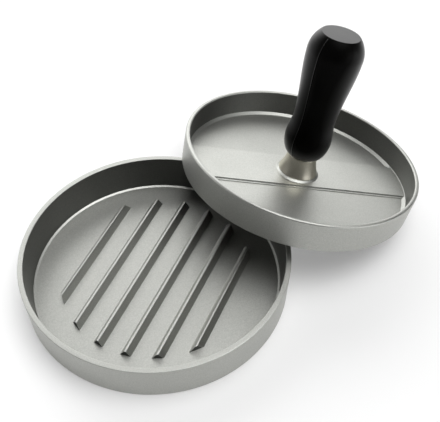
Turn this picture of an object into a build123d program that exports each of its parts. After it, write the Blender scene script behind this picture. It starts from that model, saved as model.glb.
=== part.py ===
# Hand burger press: a ridged dish on the table, and a press plate with an upright handle that lies
# tipped beside it, one side on the dish's rim and the far side on the table.
# Millimetres, +Z up. The origin is the centre of the dish's underside. +X points along the plate's fall.

import os
from math import atan, cos, degrees, radians, sin, sqrt, tan

from build123d import *

os.makedirs("parts", exist_ok=True)

# Dish
dish_diameter = 120.0
dish_height = 19.5
dish_rim_width = 2.3
dish_outer_draft = 1.8  # degrees
dish_inner_draft = 5.9  # degrees
dish_floor = 2.3  # thickness of the cast floor
dish_bevel_rise = 0.75  # bevel between the floor and the wall
dish_bevel_width = 1.0
dish_rim_break = 0.3
dish_foot_radius = 1.2

# Ridges on the dish's floor
ridge_count = 6
ridge_pitch = 13.1
ridge_height = 3.2
ridge_foot_width = 4.3
ridge_top_width = 1.0
ridge_top_radius = 0.3
ridge_circle_diameter = 87.4  # the ends of the ridges lie on this circle
ridge_direction = 22.0  # degrees from +X

# Press plate
plate_diameter = 114.2
plate_height = 15.0
plate_rim_width = 2.05
plate_outer_draft = 3.0  # degrees
plate_inner_draft = 3.2  # degrees
plate_floor = 2.4
plate_bevel_rise = 1.0  # bevel between the floor and the wall
plate_bevel_width = 2.3
plate_rim_radius = 0.5
plate_foot_radius = 0.9

# Raised strip across the plate, with a narrow lower land along each side
strip_width = 24.2
strip_rise = 0.75
strip_land_width = 0.75
strip_land_rise = 0.3
strip_direction = -39.2  # degrees in the plate, from its downhill direction

# Ridges under the plate
plate_ridge_height = 2.1
plate_ridge_foot_width = 3.0
plate_ridge_top_width = 0.9

# Boss that the handle stands on
boss_diameter = 20.6
boss_rise = 0.8
boss_edge_break = 0.3

# How the plate lies beside the dish
plate_tilt = 16.2  # degrees
plate_side_shift = -9.9
lean_gap = 0.3  # between the ridges under the plate and the dish's rim

# Countersunk screw, M5, up through the plate
screw_diameter = 5.0
screw_length = 25.0
screw_head_diameter = 9.2
screw_head_edge = 0.4  # straight edge of the head, below its cone
screw_sink = 0.2  # how far the head lies inside the underside
screw_tip_break = 0.6
screw_slot_width = 1.2
screw_slot_length = 5.2
screw_slot_depth = 1.3
screw_hole_clearance = 0.25
screw_seat_gap = 0.03

# Ferrule
ferrule_foot_diameter = 19.0
ferrule_top_diameter = 14.0
ferrule_height = 9.2
ferrule_flare = 0.35  # how far its side is hollowed
ferrule_edge = 0.5  # short straight edge at the foot
ferrule_bore_clearance = 0.08
stack_gap = 0.05  # between plate, ferrule and handle

# Handle
grip_length = 62.4
grip_foot_diameter = 12.0
grip_bulb_diameter = 21.9
grip_bulb_height = 9.3
grip_waist_diameter = 19.3
grip_waist_height = 20.5
grip_crown_diameter = 24.4
grip_crown_height = 52.0
grip_top_diameter = 18.8  # flat top

# Threaded insert in the handle's foot
insert_diameter = 8.0
insert_bore_clearance = 0.05
insert_tip_room = 2.0  # insert above the screw's tip
insert_pocket_room = 1.0  # pocket above the insert


# Shared shapes

def upright_plane(level_plane, direction, level):
    # Plane square to one direction in a level plane, its own Y along that plane's normal
    along = level_plane.x_dir * cos(radians(direction)) + level_plane.y_dir * sin(radians(direction))
    start = level_plane.origin + level_plane.z_dir * level
    return Plane(origin=start, x_dir=along.cross(level_plane.z_dir), z_dir=-along)


def side_angle(foot_width, top_width, height):
    # Angle of a ridge's side from its foot, for a symmetric ridge
    return degrees(atan(2 * height / (foot_width - top_width)))


# Dish

dish_radius = dish_diameter / 2
dish_bevel_top = dish_floor + dish_bevel_rise
dish_foot_outer = dish_radius - dish_height * tan(radians(dish_outer_draft))
dish_rim_inner = dish_radius - dish_rim_width
dish_wall_foot = dish_rim_inner - (dish_height - dish_bevel_top) * tan(radians(dish_inner_draft))
dish_flat_radius = dish_wall_foot - dish_bevel_width

with BuildPart() as dish_ridges:
    with BuildSketch(upright_plane(Plane.XY, ridge_direction, dish_floor)) as ridge_sections:
        with GridLocations(ridge_pitch, ridge_pitch, ridge_count, 1):
            Trapezoid(
                ridge_foot_width,
                ridge_height,
                side_angle(ridge_foot_width, ridge_top_width, ridge_height),
                align=(Align.CENTER, Align.MIN),
            )
        fillet(ridge_sections.vertices().group_by(Axis.Y)[-1], ridge_top_radius)
    extrude(amount=ridge_circle_diameter / 2, both=True)
    with BuildSketch(Plane.XY.offset(dish_floor)):
        Circle(ridge_circle_diameter / 2)
    extrude(amount=ridge_height, mode=Mode.INTERSECT)

with BuildPart() as base_dish:
    with BuildSketch(Plane.XZ) as dish_section:
        with BuildLine():
            Polyline(
                (0, dish_floor),
                (dish_flat_radius, dish_floor),
                (dish_wall_foot, dish_bevel_top),
                (dish_rim_inner, dish_height),
                (dish_radius, dish_height),
                (dish_foot_outer, 0),
                (0, 0),
                close=True,
            )
        make_face()
        chamfer(dish_section.vertices().group_by(Axis.Y)[-1], dish_rim_break)
        fillet(dish_section.vertices().group_by(Axis.Y)[0].sort_by(Axis.X)[-1], dish_foot_radius)
    revolve(axis=Axis.Z)
    add(dish_ridges.part)

base_dish.part.label = "base_dish"
export_step(base_dish.part, "parts/base_dish.step")


# Where the plate lies: its low edge is on the table, and the ridges under it rest at the dish's rim

plate_radius = plate_diameter / 2
plate_foot_outer = plate_radius - plate_height * tan(radians(plate_outer_draft))
tilt_sin = sin(radians(plate_tilt))
tilt_cos = cos(radians(plate_tilt))
draft = radians(plate_outer_draft)
foot_round_centre = plate_foot_outer - plate_foot_radius * (1 / cos(draft) - tan(draft))
plate_rise = foot_round_centre * tilt_sin - plate_foot_radius * (tilt_cos - 1)
rim_corner = dish_radius - dish_rim_break
plate_run = rim_corner + (
    (dish_height - plate_rise) * tilt_cos + plate_ridge_height + lean_gap
) / tilt_sin
plate_plane = Plane(
    origin=(plate_run, plate_side_shift, plate_rise),
    x_dir=(tilt_cos, 0, -tilt_sin),
    z_dir=(tilt_sin, 0, tilt_cos),
)
plate_axis = Axis(plate_plane.origin, plate_plane.z_dir)
plate_section = upright_plane(plate_plane, 90, 0)


# Press plate

plate_rim_inner = plate_radius - plate_rim_width
plate_bevel_top = plate_floor + plate_bevel_rise
plate_wall_foot = plate_rim_inner - (plate_height - plate_bevel_top) * tan(radians(plate_inner_draft))
plate_flat_radius = plate_wall_foot - plate_bevel_width
strip_level = plate_floor + strip_rise
boss_level = strip_level + boss_rise
screw_radius = screw_diameter / 2
screw_head_radius = screw_head_diameter / 2
screw_cone_top = screw_sink + screw_head_edge + screw_head_radius - screw_radius
screw_hole_radius = screw_radius + screw_hole_clearance


def raised_band(width, level):
    # Flat band across the plate that runs out in the bevel at the foot of the wall
    with BuildPart() as band:
        with BuildSketch(plate_plane.offset(plate_floor / 2)):
            Circle(plate_rim_inner)
            Rectangle(plate_diameter, width, rotation=strip_direction, mode=Mode.INTERSECT)
        extrude(amount=level - plate_floor / 2)
    return band.part


strip_land = raised_band(strip_width + 2 * strip_land_width, plate_floor + strip_land_rise)
strip = raised_band(strip_width, strip_level)

with BuildPart() as plate_ridges:
    with BuildSketch(upright_plane(plate_plane, strip_direction, 0)) as plate_ridge_sections:
        with GridLocations(ridge_pitch, ridge_pitch, ridge_count, 1):
            Trapezoid(
                plate_ridge_foot_width,
                plate_ridge_height,
                side_angle(plate_ridge_foot_width, plate_ridge_top_width, plate_ridge_height),
                rotation=180,
                align=(Align.CENTER, Align.MIN),
            )
        fillet(plate_ridge_sections.vertices().group_by(Axis.Y)[0], ridge_top_radius)
    extrude(amount=ridge_circle_diameter / 2, both=True)
    with BuildSketch(plate_plane.offset(-plate_ridge_height)):
        Circle(ridge_circle_diameter / 2)
    extrude(amount=plate_ridge_height, mode=Mode.INTERSECT)

with BuildPart() as press_plate:
    with BuildSketch(plate_section) as plate_profile:
        with BuildLine():
            Polyline(
                (0, plate_floor),
                (plate_flat_radius, plate_floor),
                (plate_wall_foot, plate_bevel_top),
                (plate_rim_inner, plate_height),
                (plate_radius, plate_height),
                (plate_foot_outer, 0),
                (0, 0),
                close=True,
            )
        make_face()
        fillet(plate_profile.vertices().group_by(Axis.Y)[-1], plate_rim_radius)
        fillet(plate_profile.vertices().group_by(Axis.Y)[0].sort_by(Axis.X)[-1], plate_foot_radius)
    revolve(axis=plate_axis)
    add(strip_land)
    add(strip)
    add(plate_ridges.part)
    with BuildSketch(plate_section) as boss_section:
        with Locations((0, plate_floor / 2)):
            Rectangle(boss_diameter / 2, boss_level - plate_floor / 2, align=Align.MIN)
        chamfer(boss_section.vertices().group_by(Axis.Y)[-1].sort_by(Axis.X)[-1], boss_edge_break)
    revolve(axis=plate_axis)
    with BuildSketch(plate_section):
        with BuildLine():
            Polyline(
                (0, -plate_ridge_height),
                (screw_head_radius + screw_seat_gap, -plate_ridge_height),
                (screw_head_radius + screw_seat_gap, screw_sink + screw_head_edge + screw_seat_gap),
                (screw_hole_radius, screw_cone_top - screw_hole_clearance + 2 * screw_seat_gap),
                (screw_hole_radius, boss_level),
                (0, boss_level),
                close=True,
            )
        make_face()
    revolve(axis=plate_axis, mode=Mode.SUBTRACT)

press_plate.part.label = "press_plate"
export_step(press_plate.part, "parts/press_plate.step")


# Screw, head down in the plate's underside

screw_tip = screw_sink + screw_length

with BuildPart() as handle_screw:
    with BuildSketch(plate_section):
        with BuildLine():
            Polyline(
                (0, screw_sink),
                (screw_head_radius, screw_sink),
                (screw_head_radius, screw_sink + screw_head_edge),
                (screw_radius, screw_cone_top),
                (screw_radius, screw_tip - screw_tip_break),
                (screw_radius - screw_tip_break, screw_tip),
                (0, screw_tip),
                close=True,
            )
        make_face()
    revolve(axis=plate_axis)
    with BuildSketch(plate_plane.offset(screw_sink)):
        Rectangle(screw_slot_length, screw_slot_width)
        Rectangle(screw_slot_width, screw_slot_length)
    extrude(amount=screw_slot_depth, mode=Mode.SUBTRACT)

handle_screw.part.label = "handle_screw"
export_step(handle_screw.part, "parts/handle_screw.step")


# Ferrule, standing on the boss

ferrule_bottom = boss_level + stack_gap
ferrule_top = ferrule_bottom + ferrule_height
ferrule_foot = (ferrule_foot_diameter / 2, ferrule_bottom + ferrule_edge)
ferrule_lip = (ferrule_top_diameter / 2, ferrule_top)
ferrule_side_run = ferrule_foot[0] - ferrule_lip[0]
ferrule_side_rise = ferrule_lip[1] - ferrule_foot[1]
ferrule_side = sqrt(ferrule_side_run**2 + ferrule_side_rise**2)
ferrule_hollow = (
    (ferrule_foot[0] + ferrule_lip[0]) / 2 - ferrule_flare * ferrule_side_rise / ferrule_side,
    (ferrule_foot[1] + ferrule_lip[1]) / 2 - ferrule_flare * ferrule_side_run / ferrule_side,
)
ferrule_bore_radius = screw_radius + ferrule_bore_clearance

with BuildPart() as handle_ferrule:
    with BuildSketch(plate_section):
        with BuildLine():
            ThreePointArc(ferrule_foot, ferrule_hollow, ferrule_lip)
            Polyline(
                ferrule_lip,
                (ferrule_bore_radius, ferrule_top),
                (ferrule_bore_radius, ferrule_bottom),
                (ferrule_foot[0], ferrule_bottom),
                ferrule_foot,
            )
        make_face()
    revolve(axis=plate_axis)

handle_ferrule.part.label = "handle_ferrule"
export_step(handle_ferrule.part, "parts/handle_ferrule.step")


# Handle and the insert moulded into its foot

grip_bottom = ferrule_top + stack_gap
grip_top = grip_bottom + grip_length
grip_bulb = (grip_bulb_diameter / 2, grip_bottom + grip_bulb_height)
grip_waist = (grip_waist_diameter / 2, grip_bottom + grip_waist_height)
grip_crown = (grip_crown_diameter / 2, grip_bottom + grip_crown_height)
grip_shoulder = (grip_top_diameter / 2, grip_top)
insert_radius = insert_diameter / 2
insert_top = screw_tip + insert_tip_room

with BuildPart() as handle_insert:
    with BuildSketch(plate_plane.offset(grip_bottom)):
        Circle(insert_radius)
        Circle(screw_radius + insert_bore_clearance, mode=Mode.SUBTRACT)
    extrude(amount=insert_top - grip_bottom)

handle_insert.part.label = "handle_insert"
export_step(handle_insert.part, "parts/handle_insert.step")

with BuildPart() as handle_grip:
    with BuildSketch(plate_section):
        with BuildLine():
            foot_curve = EllipticalCenterArc(
                (grip_foot_diameter / 2, grip_bulb[1]),
                grip_bulb[0] - grip_foot_diameter / 2,
                grip_bulb_height,
                start_angle=270,
                arc_size=90,
            )
            Spline(grip_bulb, grip_waist, tangents=[(0, 1), (0, 1)])
            Spline(grip_waist, grip_crown, tangents=[(0, 1), (0, 1)])
            TangentArc(grip_crown, grip_shoulder, tangent=(0, 1))
            Polyline(grip_shoulder, (0, grip_top), (0, grip_bottom), foot_curve @ 0)
        make_face()
    revolve(axis=plate_axis)
    with BuildSketch(plate_plane.offset(grip_bottom)):
        Circle(insert_radius)
    extrude(amount=insert_top + insert_pocket_room - grip_bottom, mode=Mode.SUBTRACT)

handle_grip.part.label = "handle_grip"
export_step(handle_grip.part, "parts/handle_grip.step")
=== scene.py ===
from math import ceil, cos, pi, radians, sin, sqrt, tan

import bpy
from mathutils import Matrix, Vector


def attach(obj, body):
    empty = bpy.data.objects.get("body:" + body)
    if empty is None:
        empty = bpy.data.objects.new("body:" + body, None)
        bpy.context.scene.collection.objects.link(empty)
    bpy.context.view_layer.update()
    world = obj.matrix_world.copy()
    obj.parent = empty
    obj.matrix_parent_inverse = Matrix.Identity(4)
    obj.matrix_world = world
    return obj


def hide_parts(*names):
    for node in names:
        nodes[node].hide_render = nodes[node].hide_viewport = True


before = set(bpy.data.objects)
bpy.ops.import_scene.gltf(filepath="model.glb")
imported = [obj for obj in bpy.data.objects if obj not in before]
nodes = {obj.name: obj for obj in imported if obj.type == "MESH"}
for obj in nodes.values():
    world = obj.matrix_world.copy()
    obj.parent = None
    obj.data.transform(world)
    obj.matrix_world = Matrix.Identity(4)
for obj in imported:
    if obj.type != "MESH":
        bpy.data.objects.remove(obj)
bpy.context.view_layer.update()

scene = bpy.context.scene
mm = 0.001

# Camera, at the photograph's viewing angle

cameraSetup = {
    "place": (-0.12364, -0.16527, 0.27932),
    "turn": (41.321, -0.234, -44.449),  # degrees
    "lens": 61.26,
    "sensor": 36.0,
    "nearest": 0.01,  # metres
}


def makeCamera(setup):
    lens = bpy.data.cameras.new("photoCamera")
    lens.lens = setup["lens"]
    lens.sensor_width = setup["sensor"]
    lens.clip_start = setup["nearest"]
    camera = bpy.data.objects.new("photoCamera", lens)
    camera.location = setup["place"]
    camera.rotation_euler = [radians(a) for a in setup["turn"]]
    scene.collection.objects.link(camera)
    scene.camera = camera


makeCamera(cameraSetup)
print("camera placed")


# Modelling helpers; their sizes are in millimetres

modelling = {
    "arcSteps": 4,  # flats along a rounding
    "mergeGap": 0.0001,  # points closer than this become one
    "past": 1.0,  # how far a cutting tool, or a search for edges, reaches past what it is for
    "slack": 0.1,  # how far off a level still counts as on it
    "bevelTurn": 20,  # degrees, the least turn of an edge that is rounded
    "sharpTurn": 35,  # degrees, the least turn of an edge that is shaded sharp
}


def roundedOutline(corners):
    # (radius, level, rounding) corners become (radius, level) points, with an arc at each rounding
    steps = modelling["arcSteps"]
    points = []
    for place, (radius, level, rounding) in enumerate(corners):
        here = Vector((radius, level))
        if not rounding:
            points.append(here)
            continue
        back = (Vector(corners[place - 1][:2]) - here).normalized()
        ahead = (Vector(corners[place + 1][:2]) - here).normalized()
        half = back.angle(ahead) / 2
        centre = here + (back + ahead).normalized() * rounding / sin(half)
        first = here + back * rounding / tan(half) - centre
        last = here + ahead * rounding / tan(half) - centre
        for step in range(steps + 1):
            points.append(centre + first.slerp(last, step / steps).normalized() * rounding)
    return points


def pickPiece(piece):
    bpy.ops.object.select_all(action="DESELECT")
    bpy.context.view_layer.objects.active = piece
    piece.select_set(True)


def openPiece(piece, kind="FACE"):
    # kind is what the edit selects: VERT, EDGE or FACE
    pickPiece(piece)
    bpy.context.tool_settings.mesh_select_mode = [kind == each for each in ("VERT", "EDGE", "FACE")]
    bpy.ops.object.mode_set(mode="EDIT")


def closePiece():
    bpy.ops.object.mode_set(mode="OBJECT")


def fixPlace(piece):
    # puts the piece's turn and shift into its mesh
    pickPiece(piece)
    bpy.ops.object.transform_apply(location=True, rotation=True, scale=True)


def chooseParts(mesh, kind, isChosen):
    # leaves only the chosen vertices, edges or polygons selected
    for group in (mesh.vertices, mesh.edges, mesh.polygons):
        for part in group:
            part.select = False
    for part in getattr(mesh, kind):
        part.select = isChosen(part)


def turnPiece(name, outline, sides, ring=False):
    # a disc, or a bare circle where the piece is a ring, drawn out ring by ring along the outline
    first = outline[0]
    fill, kind = ("NOTHING", "EDGE") if ring else ("NGON", "FACE")
    bpy.ops.mesh.primitive_circle_add(vertices=sides, radius=first[0] * mm, fill_type=fill)
    piece = bpy.context.object
    piece.name = name
    openPiece(piece, kind)
    bpy.ops.mesh.select_all(action="SELECT")
    bpy.ops.transform.translate(value=(0, 0, first[1] * mm))
    for before, after in zip(outline, outline[1:] + ([first] if ring else [])):
        bpy.ops.mesh.extrude_region_move(
            TRANSFORM_OT_translate={"value": (0, 0, (after[1] - before[1]) * mm)}
        )
        scale = after[0] / before[0]
        bpy.ops.transform.resize(value=(scale, scale, 1), center_override=(0, 0, after[1] * mm))
    bpy.ops.mesh.select_all(action="SELECT")
    bpy.ops.mesh.remove_doubles(threshold=modelling["mergeGap"] * mm)
    bpy.ops.mesh.normals_make_consistent(inside=False)
    closePiece()
    return piece


def makeBar(name, length, footWidth, topWidth, low, high):
    # a straight bar along X from its foot at low to its top at high, which may lie below the foot
    bpy.ops.mesh.primitive_cube_add(size=mm)
    bar = bpy.context.object
    bar.name = name
    openPiece(bar)
    bpy.ops.mesh.select_all(action="SELECT")
    bpy.ops.transform.resize(value=(length, footWidth, abs(high - low)))
    bpy.ops.transform.translate(value=(0, 0, (low + high) / 2 * mm))
    closePiece()
    way = 1 if high > low else -1
    chooseParts(bar.data, "polygons", lambda face: round(face.normal.z) == way)
    openPiece(bar)
    bpy.ops.transform.resize(value=(1, topWidth / footWidth, 1))
    closePiece()
    return bar


def setTurned(piece, degrees):
    piece.rotation_euler.z = radians(degrees)
    fixPlace(piece)


def applyChange(piece, kind, **settings):
    change = piece.modifiers.new(kind.title(), kind)
    for name, value in settings.items():
        setattr(change, name, value)
    bpy.context.view_layer.objects.active = piece
    bpy.ops.object.modifier_apply(modifier=change.name)


def combine(piece, tool, operation):
    applyChange(piece, "BOOLEAN", operation=operation, object=tool, solver="EXACT")
    bpy.data.objects.remove(tool)


def makeRidges(name, setup, floor, way):
    # one ridge, up or down from the floor (way 1 or -1), copied across the circle that cuts their ends
    foot, top = floor - way * setup["buried"], floor + way * setup["height"]
    slope = (setup["footWidth"] - setup["topWidth"]) / setup["height"]
    wide = setup["footWidth"] + setup["buried"] * slope
    first = makeBar(name, setup["circle"] * setup["overlength"], wide, setup["topWidth"], foot, top)
    ridges = [first]
    for _ in range(setup["count"] - 1):
        copy = first.copy()
        copy.data = first.data.copy()
        scene.collection.objects.link(copy)
        ridges.append(copy)
    pickPiece(first)
    for place, ridge in enumerate(ridges):
        ridge.location.y = (place - (setup["count"] - 1) / 2) * setup["pitch"] * mm
        ridge.select_set(True)
    bpy.ops.object.join()
    fixPlace(first)
    low, high = sorted((foot - way * modelling["past"], top + way * modelling["past"]))
    circle = setup["circle"] / 2
    combine(first, turnPiece("ridgeSpan", [(circle, low), (circle, high)], setup["sides"]), "INTERSECT")
    setTurned(first, setup["direction"])
    return first


def bevelEdges(piece, isInside, width, segments=3):
    # rounds the edges whose middle lies inside, where their two faces meet at enough of a turn
    mesh = piece.data
    normals = {}
    for face in mesh.polygons:
        for key in face.edge_keys:
            normals.setdefault(key, []).append(face.normal)

    def isChosen(edge):
        a, b = (mesh.vertices[v].co / mm for v in edge.vertices)
        sides = normals.get(edge.key, [])
        turn = sides[0].angle(sides[1], 0) if len(sides) == 2 else 0
        return turn > radians(modelling["bevelTurn"]) and isInside((a + b) / 2)

    chooseParts(mesh, "edges", isChosen)
    openPiece(piece, "EDGE")
    bpy.ops.mesh.bevel(offset=width * mm, segments=segments, clamp_overlap=False)
    closePiece()


def finishPiece(piece, sharpTurn=modelling["sharpTurn"]):
    pickPiece(piece)
    bpy.ops.object.shade_smooth_by_angle(angle=radians(sharpTurn))
    applyChange(piece, "WEIGHTED_NORMAL", keep_sharp=True)


def markFaces(piece, name, measure):
    # a value on each face, which the finish reads
    mark = piece.data.attributes.new(name, "FLOAT", "FACE")
    for face in piece.data.polygons:
        mark.data[face.index].value = measure(face.center / mm, face.normal)


# Painted shade: how much darker each kind of cast face is painted, as a share of the floor's
# brightness, to stand in for shade; a negative share is a painted highlight

paintedShade = {
    "wall": 0.67,
    "slope": 0.12,  # the sloping sides of what stands on the floor
    "ridgeEnd": 0.88,
    "step": 0.55,  # the upper step of the plate's strip
    "lowStep": 0.1,
    "top": -0.08,  # painted highlight on raised tops
    "under": 0.5,  # painted shade on the plate's underside, which darkens the gap under its edge
}
paintedShadeLimits = {
    "rimMargin": 0.3,  # the shaded wall starts this far inside the rim
    "level": 0.7,  # least upward part of a level face's normal
    "upright": 0.1,  # most of an upright one's
    "topRise": 0.5,  # least rise over the floor of what counts as a top
    "stepRise": 0.3,  # and of what counts as more than a low step
}


def paintShadeOnCasting(piece, rimInner, floorRadius, floor, uprightShade, underShade=0):
    # painted shade: the steep faces of the hollow side, the ends and sides of what stands on the floor,
    # the strip's steps and the plate's underside are darkened where shade falls, and raised tops get a
    # painted highlight

    def howDark(place, normal):
        out = place.xy.length
        if place.z < modelling["slack"]:
            return underShade
        if out > rimInner - paintedShadeLimits["rimMargin"] or place.z < floor - modelling["slack"]:
            return 0
        if normal.z > paintedShadeLimits["level"]:
            isTop = place.z > floor + paintedShadeLimits["topRise"] and out < floorRadius
            return paintedShade["top"] if isTop else 0
        if out > floorRadius:
            return paintedShade["wall"]
        if abs(normal.z) > paintedShadeLimits["upright"]:
            return paintedShade["slope"]
        return uprightShade if place.z > floor + paintedShadeLimits["stepRise"] else paintedShade["lowStep"]

    markFaces(piece, "paintedShadeAndHighlight", howDark)


# How the plate lies, as a turn and a shift of the upright plate

layoutSetup = {
    "tilt": 16.2,  # degrees
    "place": (82.041, -9.9, 15.509),  # centre of the plate's underside
}


def layDown(piece):
    shift = Matrix.Translation(Vector(layoutSetup["place"]) * mm)
    piece.matrix_world = shift @ Matrix.Rotation(radians(layoutSetup["tilt"]), 4, "Y")
    fixPlace(piece)


# Dish

dishSetup = {
    "radius": 60.0,
    "height": 19.5,
    "outerDraft": 1.8,  # degrees
    "rimWidth": 2.3,
    "innerDraft": 5.9,  # degrees
    "floor": 2.3,
    "bevelRise": 0.5,
    "bevelWidth": 0.9,
    "footRounding": 1.2,
    "rimRounding": 0.28,
    "rimInnerRounding": 0.3,
    "innerRounding": 0.15,
    "discInset": 3.0,  # how far inside its corners each closing disc starts
    "sides": 256,
    "ridges": {
        "count": 6,
        "pitch": 13.1,
        "height": 3.2,
        "footWidth": 4.8,
        "topWidth": 0.8,
        "circle": 87.4,
        "direction": 22.0,  # degrees
        "buried": 0.6,  # how far each one reaches into the floor
        "overlength": 1.1,  # of the circle, which then cuts its ends
        "sides": 256,
    },
    "ridgeRounding": 0.12,
}


def makeDish(setup):
    rim, height = setup["radius"], setup["height"]
    foot = rim - height * tan(radians(setup["outerDraft"]))
    rimInner = rim - setup["rimWidth"]
    bevelTop = setup["floor"] + setup["bevelRise"]
    wallFoot = rimInner - (height - bevelTop) * tan(radians(setup["innerDraft"]))
    flat = wallFoot - setup["bevelWidth"]
    outline = roundedOutline([
        (foot - setup["discInset"], 0, 0),
        (foot, 0, setup["footRounding"]),
        (rim, height, setup["rimRounding"]),
        (rimInner, height, setup["rimInnerRounding"]),
        (wallFoot, bevelTop, setup["innerRounding"]),
        (flat, setup["floor"], setup["innerRounding"]),
        (flat - setup["discInset"], setup["floor"], 0),
    ])
    dish = turnPiece("castDish", outline, setup["sides"])
    combine(dish, makeRidges("dishRidges", setup["ridges"], setup["floor"], 1), "UNION")
    reach = setup["ridges"]["circle"] / 2 + modelling["past"]

    def onRidge(middle):
        return middle.z > setup["floor"] - modelling["slack"] and middle.xy.length < reach

    bevelEdges(dish, onRidge, setup["ridgeRounding"])
    paintShadeOnCasting(dish, rimInner, reach, setup["floor"], paintedShade["ridgeEnd"])
    finishPiece(dish)
    return dish


castDish = makeDish(dishSetup)
print("dish modelled")


# Press plate

plateSetup = {
    "radius": 57.1,
    "height": 15.0,
    "outerDraft": 3.0,  # degrees
    "rimWidth": 2.05,
    "innerDraft": 3.2,  # degrees
    "floor": 2.4,
    "bevelRise": 0.9,
    "bevelWidth": 1.7,
    "footRounding": 0.9,
    "rimRounding": 0.9,
    "rimInnerRounding": 0.6,
    "innerRounding": 0.15,
    "discInset": 3.0,  # how far inside its corner the underside's closing disc starts
    "floorInset": 1.0,  # and the floor's
    "sides": 256,
    "strip": {
        "width": 24.2,
        "rise": 0.75,
        "landWidth": 1.4,
        "landRise": 0.3,
        "direction": -39.2,  # degrees
        "overlap": 0.1,  # of its two bars, so that none of their faces coincide
        "margin": 0.5,  # how far beside its edges the rounding still looks for them
    },
    "stripRounding": 0.05,
    "stripSegments": 2,
    "boss": {
        "radius": 10.5,
        "topRadius": 9.4,
        "edge": 3.2,  # level where its side starts to slope
        "top": 3.95,
        "rounding": 0.1,
        "discInset": 1.0,
        "sides": 128,
    },
    "ridges": {
        "count": 6,
        "pitch": 13.1,
        "height": 2.1,
        "footWidth": 3.0,
        "topWidth": 0.9,
        "circle": 87.4,
        "direction": -39.2,  # degrees
        "buried": 0.6,
        "overlength": 1.1,
        "sides": 256,
    },
    "ridgeRounding": 0.25,
    "screwHole": {
        "headRadius": 4.63,
        "headDepth": 0.63,
        "coneTop": 2.51,
        "radius": 2.75,
        "sharpRadius": 6.0,  # edges nearer to its axis stay sharp
        "sides": 64,
    },
}


def makeStrip(setup, floor, wallFoot):
    # the strip and the wider, lower band that shows as a land along each side
    length, low = 2 * wallFoot, floor / 2
    width, overlap = setup["width"], setup["overlap"]
    wide = width + 2 * setup["landWidth"]
    strip = makeBar("plateStrip", length, width, width, low, floor + setup["rise"])
    land = makeBar("stripLand", length + overlap, wide, wide, low - overlap, floor + setup["landRise"])
    combine(strip, land, "UNION")
    setTurned(strip, setup["direction"])
    return strip


def makePlate(setup):
    rim, height, floor = setup["radius"], setup["height"], setup["floor"]
    foot = rim - height * tan(radians(setup["outerDraft"]))
    rimInner = rim - setup["rimWidth"]
    bevelTop = floor + setup["bevelRise"]
    wallFoot = rimInner - (height - bevelTop) * tan(radians(setup["innerDraft"]))
    flat = wallFoot - setup["bevelWidth"]
    outline = roundedOutline([
        (foot - setup["discInset"], 0, 0),
        (foot, 0, setup["footRounding"]),
        (rim, height, setup["rimRounding"]),
        (rimInner, height, setup["rimInnerRounding"]),
        (wallFoot, bevelTop, setup["innerRounding"]),
        (flat, floor, setup["innerRounding"]),
        (flat - setup["floorInset"], floor, 0),
    ])
    plate = turnPiece("castPlate", outline, setup["sides"])
    combine(plate, makeStrip(setup["strip"], floor, wallFoot), "UNION")
    boss = setup["boss"]
    bossOutline = roundedOutline([
        (boss["radius"], floor / 3, 0),  # inside the floor
        (boss["radius"], boss["edge"], 0),
        (boss["topRadius"], boss["top"], boss["rounding"]),
        (boss["topRadius"] - boss["discInset"], boss["top"], 0),
    ])
    combine(plate, turnPiece("handleBoss", bossOutline, boss["sides"]), "UNION")
    combine(plate, makeRidges("plateRidges", setup["ridges"], 0, -1), "UNION")
    hole = setup["screwHole"]
    holeOutline = [
        (hole["headRadius"], -setup["ridges"]["height"] - modelling["past"]),
        (hole["headRadius"], hole["headDepth"]),
        (hole["radius"], hole["coneTop"]),
        (hole["radius"], boss["top"] + modelling["past"]),
    ]
    combine(plate, turnPiece("screwHole", holeOutline, hole["sides"]), "DIFFERENCE")
    strip = setup["strip"]
    across = Matrix.Rotation(radians(-strip["direction"]), 2)
    stripInner = strip["width"] / 2 - strip["margin"]
    stripOuter = strip["width"] / 2 + strip["landWidth"] + strip["margin"]

    stripReach = flat + modelling["past"]
    ridgeReach = setup["ridges"]["circle"] / 2 + modelling["past"]

    def onStrip(middle):
        beside = abs((across @ middle.xy).y)
        inside = middle.xy.length < stripReach and middle.z > floor - modelling["slack"]
        return inside and stripInner < beside < stripOuter

    def onRidge(middle):
        return middle.z < modelling["slack"] and hole["sharpRadius"] < middle.xy.length < ridgeReach

    bevelEdges(plate, onStrip, setup["stripRounding"], setup["stripSegments"])
    bevelEdges(plate, onRidge, setup["ridgeRounding"])
    paintShadeOnCasting(plate, rimInner, flat, floor, paintedShade["step"], paintedShade["under"])
    finishPiece(plate)
    layDown(plate)
    return plate


castPlate = makePlate(plateSetup)
print("plate modelled")


# Ferrule, a turned collar

ferruleSetup = {
    "bottom": 4.0,
    "height": 9.2,
    "footRadius": 9.5,
    "topRadius": 7.0,
    "edge": 0.5,  # straight edge at its foot
    "hollow": 0.35,  # how far its side is hollowed
    "bore": 2.58,
    "rounding": 0.15,
    "steps": 12,
    "sides": 128,
}


def makeFerrule(setup):
    low = Vector((setup["footRadius"], setup["bottom"] + setup["edge"]))
    high = Vector((setup["topRadius"], setup["bottom"] + setup["height"]))
    side = high - low
    inward = Vector((-side.y, side.x)).normalized()
    flare = []
    for step in range(1, setup["steps"]):
        share = step / setup["steps"]
        hollow = setup["hollow"] * 4 * share * (1 - share)  # a parabola, deepest halfway
        flare.append((*(low + side * share + inward * hollow), 0))
    small = setup["rounding"]
    outline = roundedOutline([
        (setup["bore"], setup["bottom"], 0),
        (setup["footRadius"], setup["bottom"], small),
        (low.x, low.y, small),
        *flare,
        (high.x, high.y, small),
        (setup["bore"], high.y, 0),
    ])
    ferrule = turnPiece("turnedFerrule", outline, setup["sides"], ring=True)
    finishPiece(ferrule)
    layDown(ferrule)
    return ferrule


turnedFerrule = makeFerrule(ferruleSetup)
print("ferrule modelled")


# Handle, moulded in two halves, with the parting line up both sides

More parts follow.
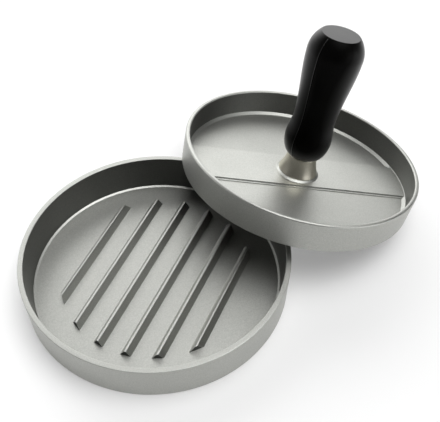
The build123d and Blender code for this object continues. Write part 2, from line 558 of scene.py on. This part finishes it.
gripSetup = {
    "bottom": 13.25,
    "length": 62.2,
    "footRadius": 6.0,
    "bulbRadius": 11.15,
    "bulbHeight": 9.5,
    "waistRadius": 9.9,
    "waistHeight": 20.3,
    "crownRadius": 12.75,
    "crownHeight": 53.0,
    "topRadius": 8.8,
    "topRounding": 0.5,
    "topInset": 2.0,
    "pocketRadius": 4.0,
    "pocketTop": 28.2,
    "steps": 14,
    "sides": 128,
    "sharpTurn": 40,  # degrees
    "seamWidth": 0.3,
    "seamRise": 0.15,
    "seamInset": 0.5,  # how far inside the ends and outside the pocket it stays
    "seamReach": 0.01,  # how far off the parting plane its points may lie
}


def easeBetween(lower, upper, steps):
    # points of a curve that leaves and arrives upright
    points = []
    for step in range(1, steps + 1):
        share = step / steps
        eased = 3 * share**2 - 2 * share**3
        radius = lower[0] + (upper[0] - lower[0]) * eased
        points.append((radius, lower[1] + (upper[1] - lower[1]) * share, 0))
    return points


def makeGrip(setup):
    bottom, steps = setup["bottom"], setup["steps"]
    bulb = (setup["bulbRadius"], bottom + setup["bulbHeight"])
    waist = (setup["waistRadius"], bottom + setup["waistHeight"])
    crown = (setup["crownRadius"], bottom + setup["crownHeight"])
    top = bottom + setup["length"]
    foot = []
    for step in range(steps + 1):
        angle = pi / 2 * step / steps
        out = setup["footRadius"] + (bulb[0] - setup["footRadius"]) * sin(angle)
        foot.append((out, bulb[1] - setup["bulbHeight"] * cos(angle), 0))
    narrowing = setup["crownRadius"] - setup["topRadius"]
    rise = top - crown[1]
    arc = (narrowing**2 + rise**2) / (2 * narrowing)  # radius of the shoulder's curve
    shoulder = []
    for step in range(1, steps):
        climb = rise * step / steps
        shoulder.append((crown[0] - arc + sqrt(arc**2 - climb**2), crown[1] + climb, 0))
    outline = roundedOutline([
        (setup["pocketRadius"], setup["pocketTop"], 0),
        (setup["pocketRadius"], bottom, 0),
        *foot,
        *easeBetween(bulb, waist, steps),
        *easeBetween(waist, crown, 2 * steps),
        *shoulder,
        (setup["topRadius"], top, setup["topRounding"]),
        (setup["topRadius"] - setup["topInset"], top, 0),
    ])
    grip = turnPiece("mouldedGrip", outline, setup["sides"])
    raiseSeam(grip, setup)

    def onTop(place, normal):
        return 1 if round(normal.z, 2) == 1 and place.z > top - modelling["slack"] else 0

    markFaces(grip, "flatEnd", onTop)
    finishPiece(grip, setup["sharpTurn"])
    layDown(grip)
    return grip


def raiseSeam(grip, setup):
    # the two chains of edges that lie in the parting plane are widened and their middle is lifted
    mesh = grip.data
    inset, reach = setup["seamInset"], setup["seamReach"]
    low, high = setup["bottom"] + inset, setup["bottom"] + setup["length"] - inset

    def inPlane(edge):
        a, b = (mesh.vertices[v].co / mm for v in edge.vertices)
        outside = min(a.xy.length, b.xy.length) > setup["pocketRadius"] + inset
        upright = abs(a.y) < reach and abs(b.y) < reach
        return outside and upright and low < min(a.z, b.z) and max(a.z, b.z) < high

    chooseParts(mesh, "edges", inPlane)
    openPiece(grip, "EDGE")
    bpy.ops.mesh.bevel(offset=setup["seamWidth"] * mm, segments=2, clamp_overlap=True)
    closePiece()

    def onSeam(vertex):
        place = vertex.co / mm
        return abs(place.y) < reach and place.xy.length > setup["footRadius"] and low < place.z < high

    chooseParts(mesh, "vertices", onSeam)
    openPiece(grip, "VERT")
    bpy.ops.transform.shrink_fatten(value=setup["seamRise"] * mm)
    closePiece()


mouldedGrip = makeGrip(gripSetup)
print("grip modelled")


# Screw, with its rolled thread

screwSetup = {
    "bottom": 0.2,
    "headRadius": 4.6,
    "headEdge": 0.4,
    "radius": 2.5,
    "coneTop": 2.7,
    "top": 25.2,
    "tipBreak": 0.607,
    "threadStart": 4.6,
    "runIn": 0.307,
    "pitch": 0.8,
    "threadDepth": 0.45,
    "crestInset": 0.01,  # the thread's crest under the shank's surface
    "mergeGap": 0.001,  # between the thread's turns
    "rounding": 0.1,
    "shoulder": 0.3,  # height over which the shank narrows to the thread's core
    "tipRise": 0.05,
    "tipNarrowing": 0.3,
    "discInset": 1.0,
    "slotWidth": 1.2,
    "slotTaper": 0.9,  # its width at the bottom, as a share
    "slotLength": 5.2,
    "slotDepth": 1.3,
    "sides": 48,
}


def makeThread(setup):
    # one tooth of the thread, wound up the shank and then cut level at both ends
    crest, root = setup["radius"] - setup["crestInset"], setup["radius"] - setup["threadDepth"]
    pitch = setup["pitch"]
    flat, flank = pitch / 8, pitch * 3 / 8  # what crest or root and each flank take of a turn
    start = setup["threadStart"] - 2 * pitch
    bpy.ops.mesh.primitive_plane_add(size=mm)
    thread = bpy.context.object
    thread.name = "screwThread"
    openPiece(thread, "VERT")
    bpy.ops.mesh.select_all(action="SELECT")
    bpy.ops.mesh.merge(type="CENTER")
    bpy.ops.transform.translate(value=(crest * mm, 0, start * mm))
    before = crest
    for radius, climb in ((crest, flat), (root, flank), (root, flat), (crest, flank)):
        bpy.ops.mesh.extrude_region_move(
            TRANSFORM_OT_translate={"value": ((radius - before) * mm, 0, climb * mm)}
        )
        before = radius
    closePiece()
    turns = ceil((setup["top"] - start) / pitch) + 1
    applyChange(
        thread, "SCREW", axis="Z", screw_offset=pitch * mm, iterations=turns,
        steps=setup["sides"], render_steps=setup["sides"],
    )
    openPiece(thread, "VERT")
    bpy.ops.mesh.select_all(action="SELECT")
    bpy.ops.mesh.remove_doubles(threshold=setup["mergeGap"] * mm)
    cuts = ((setup["threadStart"] - setup["runIn"], False), (setup["top"] - setup["tipBreak"], True))
    for level, above in cuts:
        bpy.ops.mesh.select_all(action="SELECT")
        bpy.ops.mesh.bisect(
            plane_co=(0, 0, level * mm), plane_no=(0, 0, 1), use_fill=True,
            clear_inner=not above, clear_outer=above, threshold=modelling["mergeGap"] * mm,
        )
    bpy.ops.mesh.select_all(action="SELECT")
    bpy.ops.mesh.normals_make_consistent(inside=False)
    closePiece()
    return thread


def makeScrew(setup):
    low, tip, smooth = setup["bottom"], setup["top"], setup["threadStart"]
    small = setup["rounding"]
    core = setup["radius"] - setup["threadDepth"]
    outline = roundedOutline([
        (setup["headRadius"] - setup["discInset"], low, 0),
        (setup["headRadius"], low, small),
        (setup["headRadius"], low + setup["headEdge"], small),
        (setup["radius"], setup["coneTop"], 0),
        (setup["radius"], smooth, small),
        (core, smooth + setup["shoulder"], 0),
        (core, tip - setup["tipRise"], 0),
        (core - setup["tipNarrowing"], tip, 0),
    ])
    screw = turnPiece("headScrew", outline, setup["sides"])
    width, length = setup["slotWidth"], setup["slotLength"]
    under, bottom = low - modelling["past"], low + setup["slotDepth"]
    for turn in (0, 90):
        slot = makeBar("driveSlot", length, width, width * setup["slotTaper"], under, bottom)
        setTurned(slot, turn)
        combine(screw, slot, "DIFFERENCE")
    thread = makeThread(setup)
    pickPiece(screw)
    thread.select_set(True)
    bpy.ops.object.join()
    finishPiece(screw)
    layDown(screw)
    return screw


headScrew = makeScrew(screwSetup)
print("screw modelled")


# Each piece goes with its body, in its solid's place

dressing = (
    (castDish, "dish", "base_dish", "cast_aluminium"),
    (castPlate, "press", "press_plate", "cast_aluminium"),
    (headScrew, "press", "handle_screw", "screw_steel"),
    (turnedFerrule, "collar", "handle_ferrule", "ferrule_nickel"),
    (mouldedGrip, "handle", "handle_grip", "grip_phenolic"),
)
for piece, body, node, slot in dressing:
    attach(piece, body)
    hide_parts(node)


# Small helpers for node trees

def addNode(tree, kind, place=(0, 0), **settings):
    node = tree.nodes.new(kind)
    node.location = place
    for name, value in settings.items():
        setattr(node, name, value)
    return node


def setInputs(node, **values):
    for name, value in values.items():
        node.inputs[name.replace("_", " ")].default_value = value


def newGroup(name, inputs, outputs):
    group = bpy.data.node_groups.new(name, "ShaderNodeTree")
    for label, value in inputs.items():
        socket = group.interface.new_socket(label, in_out="INPUT", socket_type="NodeSocketFloat")
        socket.default_value = value
    for label, kind in outputs.items():
        group.interface.new_socket(label, in_out="OUTPUT", socket_type=kind)
    start = addNode(group, "NodeGroupInput", (-900, 0))
    end = addNode(group, "NodeGroupOutput", (900, 0))
    return group, start, end


def newMaterial(name):
    material = bpy.data.materials.new(name)
    material.use_nodes = True
    tree = material.node_tree
    shader = tree.nodes["Principled BSDF"]
    return material, tree, shader


# Shared effects

noiseLow, noiseHigh = 0.3, 0.7  # between these lie most of a noise texture's values
grainNoise = {"Detail": 3.0, "Roughness": 0.65}
driftNoise = {"Detail": 4.0, "Roughness": 0.55}
wearSetup = {
    "samples": 6,
    "flat": 0.999,  # how nearly the rounded normal is the true one where nothing is worn
    "worn": 0.93,  # and where all is
    "patchDetail": 4.0,
    "patchLow": 0.3,
    "patchHigh": 0.65,
}


def makeGrainGroup():
    # fine blasted grain with slow drift of tone: one noise for the grains, one for the drift
    group, start, end = newGroup(
        "satinGrain",
        {"grainScale": 3500.0, "driftScale": 45.0},
        {"height": "NodeSocketFloat", "tone": "NodeSocketFloat", "drift": "NodeSocketFloat"},
    )
    coords = addNode(group, "ShaderNodeTexCoord", (-1100, -200))
    grain = addNode(group, "ShaderNodeTexNoise", (-600, 100))
    setInputs(grain, **grainNoise)
    drift = addNode(group, "ShaderNodeTexNoise", (-600, -250))
    setInputs(drift, **driftNoise)
    link = group.links.new
    link(coords.outputs["Object"], grain.inputs["Vector"])
    link(coords.outputs["Object"], drift.inputs["Vector"])
    link(start.outputs["grainScale"], grain.inputs["Scale"])
    link(start.outputs["driftScale"], drift.inputs["Scale"])
    link(grain.outputs["Fac"], end.inputs["height"])
    link(grain.outputs["Fac"], end.inputs["tone"])
    link(drift.outputs["Fac"], end.inputs["drift"])
    return group


def makeWearGroup(setup):
    # how sharply the surface turns within a small radius, broken into patches: 0 on a flat
    group, start, end = newGroup(
        "edgeWear",
        {"radius": 0.0006, "patchScale": 260.0},
        {"mask": "NodeSocketFloat"},
    )
    bevel = addNode(group, "ShaderNodeBevel", (-600, 100), samples=setup["samples"])
    shape = addNode(group, "ShaderNodeNewGeometry", (-600, -150))
    dot = addNode(group, "ShaderNodeVectorMath", (-350, 0), operation="DOT_PRODUCT")
    sharp = addNode(group, "ShaderNodeMapRange", (-100, 0))
    setInputs(sharp, From_Min=setup["flat"], From_Max=setup["worn"])
    coords = addNode(group, "ShaderNodeTexCoord", (-600, -400))
    patches = addNode(group, "ShaderNodeTexNoise", (-350, -350))
    setInputs(patches, Detail=setup["patchDetail"])
    broken = addNode(group, "ShaderNodeMapRange", (-100, -350))
    setInputs(broken, From_Min=setup["patchLow"], From_Max=setup["patchHigh"])
    product = addNode(group, "ShaderNodeMath", (200, 0), operation="MULTIPLY")
    link = group.links.new
    link(start.outputs["radius"], bevel.inputs["Radius"])
    link(bevel.outputs["Normal"], dot.inputs[0])
    link(shape.outputs["Normal"], dot.inputs[1])
    link(dot.outputs["Value"], sharp.inputs["Value"])
    link(coords.outputs["Object"], patches.inputs["Vector"])
    link(start.outputs["patchScale"], patches.inputs["Scale"])
    link(patches.outputs["Fac"], broken.inputs["Value"])
    link(sharp.outputs["Result"], product.inputs[0])
    link(broken.outputs["Result"], product.inputs[1])
    link(product.outputs["Value"], end.inputs["mask"])
    return group


satinGrain = makeGrainGroup()
edgeWear = makeWearGroup(wearSetup)


# Finishes

def grainedSurface(name, finish, toneFrom):
    # what metal and plastic share: two tones, an uneven roughness and a fine bump, all from the grain
    material, tree, shader = newMaterial(name)
    grain = addNode(tree, "ShaderNodeGroup", (-900, 0), node_tree=satinGrain)
    setInputs(grain, grainScale=finish["grainScale"], driftScale=finish["driftScale"])
    tones = addNode(tree, "ShaderNodeValToRGB", (-600, 250))
    for stop, place, tone in zip(tones.color_ramp.elements, (noiseLow, noiseHigh), ("dark", "light")):
        stop.position = place
        stop.color = (*finish[tone], 1)
    rough = addNode(tree, "ShaderNodeMapRange", (-300, -50))
    smooth, dull = finish["roughness"]
    setInputs(rough, From_Min=noiseLow, From_Max=noiseHigh, To_Min=smooth, To_Max=dull)
    bump = addNode(tree, "ShaderNodeBump", (-300, -350))
    setInputs(bump, Strength=finish["bump"], Distance=finish["bumpDepth"])
    tree.links.new(grain.outputs[toneFrom], tones.inputs["Fac"])
    tree.links.new(grain.outputs["drift"], rough.inputs["Value"])
    tree.links.new(grain.outputs["height"], bump.inputs["Height"])
    tree.links.new(bump.outputs["Normal"], shader.inputs["Normal"])
    return material, tree, shader, tones.outputs["Color"], rough.outputs["Result"]


def grainedMetal(name, finish):
    # darker or brighter where a face carries painted shade or painted highlight, brighter and smoother
    # where an edge is worn
    material, tree, shader, tone, roughness = grainedSurface(name, finish, "tone")
    wear = addNode(tree, "ShaderNodeGroup", (-900, -300), node_tree=edgeWear)
    setInputs(wear, radius=finish["wearRadius"])
    # painted shade and highlight: each face's share of darkness scales the base colour
    dark = addNode(tree, "ShaderNodeAttribute", (-900, 500), attribute_name="paintedShadeAndHighlight")
    bright = addNode(tree, "ShaderNodeMath", (-600, 500), operation="SUBTRACT")
    bright.inputs[0].default_value = 1.0
    shaded = addNode(tree, "ShaderNodeVectorMath", (-450, 350), operation="SCALE")
    worn = addNode(tree, "ShaderNodeMix", (-300, 200), data_type="RGBA")
    worn.inputs["B"].default_value = (*finish["worn"], 1)
    smoother = addNode(tree, "ShaderNodeMath", (-100, -50), operation="MULTIPLY_ADD")
    smoother.inputs[1].default_value = -finish["wornGloss"]
    link = tree.links.new
    link(dark.outputs["Fac"], bright.inputs[1])
    link(tone, shaded.inputs["Vector"])
    link(bright.outputs["Value"], shaded.inputs["Scale"])
    link(shaded.outputs["Vector"], worn.inputs["A"])
    link(wear.outputs["mask"], worn.inputs["Factor"])
    link(worn.outputs["Result"], shader.inputs["Base Color"])
    link(wear.outputs["mask"], smoother.inputs[0])
    link(roughness, smoother.inputs[2])
    link(smoother.outputs["Value"], shader.inputs["Roughness"])
    setInputs(shader, Metallic=1.0)
    return material


castFinish = {
    "grainScale": 2000.0,
    "driftScale": 40.0,
    "wearRadius": 0.0005,
    "dark": (0.365, 0.370, 0.349),
    "light": (0.471, 0.476, 0.450),
    "worn": (0.50, 0.51, 0.48),
    "roughness": (0.43, 0.49),
    "wornGloss": 0.1,
    "bump": 0.25,
    "bumpDepth": 0.0001,
}
nickelFinish = {
    "grainScale": 3200.0,
    "driftScale": 90.0,
    "wearRadius": 0.0004,
    "dark": (0.68, 0.645, 0.55),
    "light": (0.80, 0.765, 0.66),
    "worn": (0.85, 0.83, 0.74),
    "roughness": (0.28, 0.36),
    "wornGloss": 0.05,
    "bump": 0.12,
    "bumpDepth": 0.0001,
}
steelFinish = {
    "grainScale": 3200.0,
    "driftScale": 120.0,
    "wearRadius": 0.0003,
    "dark": (0.5, 0.5, 0.5),
    "light": (0.66, 0.66, 0.65),
    "worn": (0.8, 0.8, 0.8),
    "roughness": (0.25, 0.4),
    "wornGloss": 0.05,
    "bump": 0.1,
    "bumpDepth": 0.00005,
}
brassFinish = {
    "grainScale": 3200.0,
    "driftScale": 120.0,
    "wearRadius": 0.0003,
    "dark": (0.68, 0.5, 0.24),
    "light": (0.8, 0.62, 0.33),
    "worn": (0.9, 0.75, 0.45),
    "roughness": (0.22, 0.34),
    "wornGloss": 0.05,
    "bump": 0.1,
    "bumpDepth": 0.00005,
}
castMetal = grainedMetal("castAluminium", castFinish)
nickelMetal = grainedMetal("satinNickel", nickelFinish)
steelMetal = grainedMetal("screwSteel", steelFinish)
brassMetal = grainedMetal("insertBrass", brassFinish)

phenolicFinish = {
    "grainScale": 1400.0,
    "driftScale": 60.0,
    "dark": (0.0008, 0.0008, 0.0007),
    "light": (0.002, 0.002, 0.0018),
    "roughness": (0.32, 0.4),
    "specular": 0.03,
    "gloss": 0.0,  # where the surface faces the viewer
    "edgeGloss": 0.85,  # where it turns away
    "glossStart": 0.2,  # how far it has turned where the gloss starts to grow
    "glossEnd": 0.75,  # and where it is full
    "endGloss": 0.72,  # on the flat top
    "glossRoughness": 0.38,
    "bump": 0.12,
    "bumpDepth": 0.0001,
}


def mouldedPlastic(name, finish):
    # a gloss that grows where the surface turns away, and is even on the flat end
    material, tree, shader, tone, roughness = grainedSurface(name, finish, "drift")
    turning = addNode(tree, "ShaderNodeLayerWeight", (-900, -500))
    sheen = addNode(tree, "ShaderNodeMapRange", (-600, -500))
    setInputs(sheen, From_Min=finish["glossStart"], From_Max=finish["glossEnd"])
    setInputs(sheen, To_Min=finish["gloss"], To_Max=finish["edgeGloss"])
    ends = addNode(tree, "ShaderNodeAttribute", (-600, -800), attribute_name="flatEnd")
    gloss = addNode(tree, "ShaderNodeMix", (-300, -600))
    setInputs(gloss, B=finish["endGloss"])
    link = tree.links.new
    link(tone, shader.inputs["Base Color"])
    link(roughness, shader.inputs["Roughness"])
    link(turning.outputs["Facing"], sheen.inputs["Value"])
    link(ends.outputs["Fac"], gloss.inputs["Factor"])
    link(sheen.outputs["Result"], gloss.inputs["A"])
    link(gloss.outputs["Result"], shader.inputs["Coat Weight"])
    setInputs(shader, Specular_IOR_Level=finish["specular"], Coat_Roughness=finish["glossRoughness"])
    return material


blackPhenolic = mouldedPlastic("blackPhenolic", phenolicFinish)
print("materials built")


def dress(mesh, material):
    mesh.materials.clear()
    mesh.materials.append(material)


slotMaterials = {
    "cast_aluminium": castMetal,
    "screw_steel": steelMetal,
    "ferrule_nickel": nickelMetal,
    "grip_phenolic": blackPhenolic,
}
for piece, body, node, slot in dressing:
    dress(piece.data, slotMaterials[slot])
    dress(nodes[node].data, slotMaterials[slot])
dress(nodes["handle_insert"].data, brassMetal)
print("pieces dressed")


# Table top

tableSetup = {
    "reach": 4.0,  # half its side
    "colour": (0.93, 0.93, 0.93),
    "roughness": 0.6,
    "backdrop": (0.96, 0.96, 0.96),  # an evenly lit sheet's tone
    "backdropShare": 0.25,  # how much of it the camera and the metal see in the table's place
}


def makeTable(setup):
    bpy.ops.mesh.primitive_plane_add(size=2 * setup["reach"], location=(0, 0, 0))
    table = bpy.context.object
    table.name = "tableTop"
    material, tree, shader = newMaterial("paleTable")
    setInputs(shader, Base_Color=(*setup["colour"], 1), Roughness=setup["roughness"])
    # the camera and reflections see a share of the lit sheet, and all other rays the plain surface
    rays = addNode(tree, "ShaderNodeLightPath", (-700, 500))
    seen = addNode(tree, "ShaderNodeMath", (-500, 500), operation="MAXIMUM")
    seenThrough = addNode(tree, "ShaderNodeMath", (-300, 500), operation="MAXIMUM")
    share = addNode(tree, "ShaderNodeMath", (-100, 500), operation="MULTIPLY")
    share.inputs[1].default_value = setup["backdropShare"]
    sheet = addNode(tree, "ShaderNodeEmission", (0, 200))
    setInputs(sheet, Color=(*setup["backdrop"], 1), Strength=1.0)
    blend = addNode(tree, "ShaderNodeMixShader", (300, 200))
    link = tree.links.new
    link(rays.outputs["Is Camera Ray"], seen.inputs[0])
    link(rays.outputs["Is Glossy Ray"], seen.inputs[1])
    link(seen.outputs["Value"], seenThrough.inputs[0])
    link(rays.outputs["Is Transmission Ray"], seenThrough.inputs[1])
    link(seenThrough.outputs["Value"], share.inputs[0])
    link(share.outputs["Value"], blend.inputs["Fac"])
    link(shader.outputs["BSDF"], blend.inputs[1])
    link(sheet.outputs["Emission"], blend.inputs[2])
    link(blend.outputs["Shader"], tree.nodes["Material Output"].inputs["Surface"])
    table.data.materials.append(material)


makeTable(tableSetup)


# Room: a wide and a small high window on the far side, a panel overhead, a low window at one side and a
# weak one at the other. The near side is dim. Past the table's edge the camera sees a white backdrop

roomSetup = {
    "dim": 0.012,  # brightness of the rest of the room
    "backdropShare": 0.02,  # least brightness of the room as the pieces reflect it
    "panels": {  # angles in degrees
        "farWindow": {"azimuth": 56, "elevation": 12, "core": 17, "edge": 51, "strength": 2.65},
        "overheadPanel": {"azimuth": 307, "elevation": 75, "core": 8, "edge": 34, "strength": 4.5},
        "sideWindow": {"azimuth": 286, "elevation": 0, "core": 5, "edge": 32, "strength": 3.5},
        "fillPanel": {"azimuth": 126, "elevation": 12, "core": 8, "edge": 38, "strength": 1.2},
        "highWindow": {"azimuth": 80, "elevation": 37, "core": 5, "edge": 18, "strength": 1.6},
    },
}


def makePanelGroup():
    # a round soft-edged panel of light: its direction, and the angle cosines of its core and edge
    group, start, end = newGroup(
        "softPanel",
        {"x": 0.0, "y": 0.0, "z": 1.0, "core": 0.9, "edge": 0.5, "strength": 1.0},
        {"light": "NodeSocketFloat"},
    )
    coords = addNode(group, "ShaderNodeTexCoord", (-900, 250))
    toward = addNode(group, "ShaderNodeCombineXYZ", (-600, 0))
    facing = addNode(group, "ShaderNodeVectorMath", (-350, 100), operation="DOT_PRODUCT")
    fade = addNode(group, "ShaderNodeMapRange", (-50, 0), interpolation_type="SMOOTHSTEP")
    link = group.links.new
    for axis in "xyz":
        link(start.outputs[axis], toward.inputs[axis.upper()])
    link(coords.outputs["Generated"], facing.inputs[0])
    link(toward.outputs["Vector"], facing.inputs[1])
    link(facing.outputs["Value"], fade.inputs["Value"])
    link(start.outputs["edge"], fade.inputs["From Min"])
    link(start.outputs["core"], fade.inputs["From Max"])
    link(start.outputs["strength"], fade.inputs["To Max"])
    link(fade.outputs["Result"], end.inputs["light"])
    return group


def makeRoom(setup):
    world = bpy.data.worlds.new("studioRoom")
    world.use_nodes = True
    scene.world = world
    tree = world.node_tree
    link = tree.links.new
    softPanel = makePanelGroup()
    total = None
    for row, panel in enumerate(setup["panels"].values()):
        turn, lift = radians(panel["azimuth"]), radians(panel["elevation"])
        light = addNode(tree, "ShaderNodeGroup", (-900, -250 * row), node_tree=softPanel)
        core, edge = cos(radians(panel["core"])), cos(radians(panel["edge"]))
        setInputs(light, x=cos(turn) * cos(lift), y=sin(turn) * cos(lift), z=sin(lift))
        setInputs(light, core=core, edge=edge, strength=panel["strength"])
        joined = addNode(tree, "ShaderNodeMath", (-500 + 200 * row, -250 * row), operation="ADD")
        link(light.outputs["light"], joined.inputs[0])
        if total:
            link(total, joined.inputs[1])
        else:
            joined.inputs[1].default_value = setup["dim"]
        total = joined.outputs["Value"]
    rays = addNode(tree, "ShaderNodeLightPath", (-900, 500))
    seen = addNode(tree, "ShaderNodeMath", (-500, 500), operation="MAXIMUM")
    share = addNode(tree, "ShaderNodeMath", (-500, 300), operation="MULTIPLY")
    share.inputs[1].default_value = setup["backdropShare"]
    white = addNode(tree, "ShaderNodeMath", (-300, 400), operation="MAXIMUM")
    lit = addNode(tree, "ShaderNodeMath", (600, 200), operation="MAXIMUM")
    background = tree.nodes["Background"]
    setInputs(background, Color=(1, 1, 1, 1))
    link(rays.outputs["Is Camera Ray"], seen.inputs[0])
    link(rays.outputs["Is Transmission Ray"], seen.inputs[1])
    link(rays.outputs["Is Glossy Ray"], share.inputs[0])
    link(seen.outputs["Value"], white.inputs[0])
    link(share.outputs["Value"], white.inputs[1])
    link(white.outputs["Value"], lit.inputs[0])
    link(total, lit.inputs[1])
    link(lit.outputs["Value"], background.inputs["Strength"])


makeRoom(roomSetup)
scene.view_settings.view_transform = "Standard"
print("table and room ready")
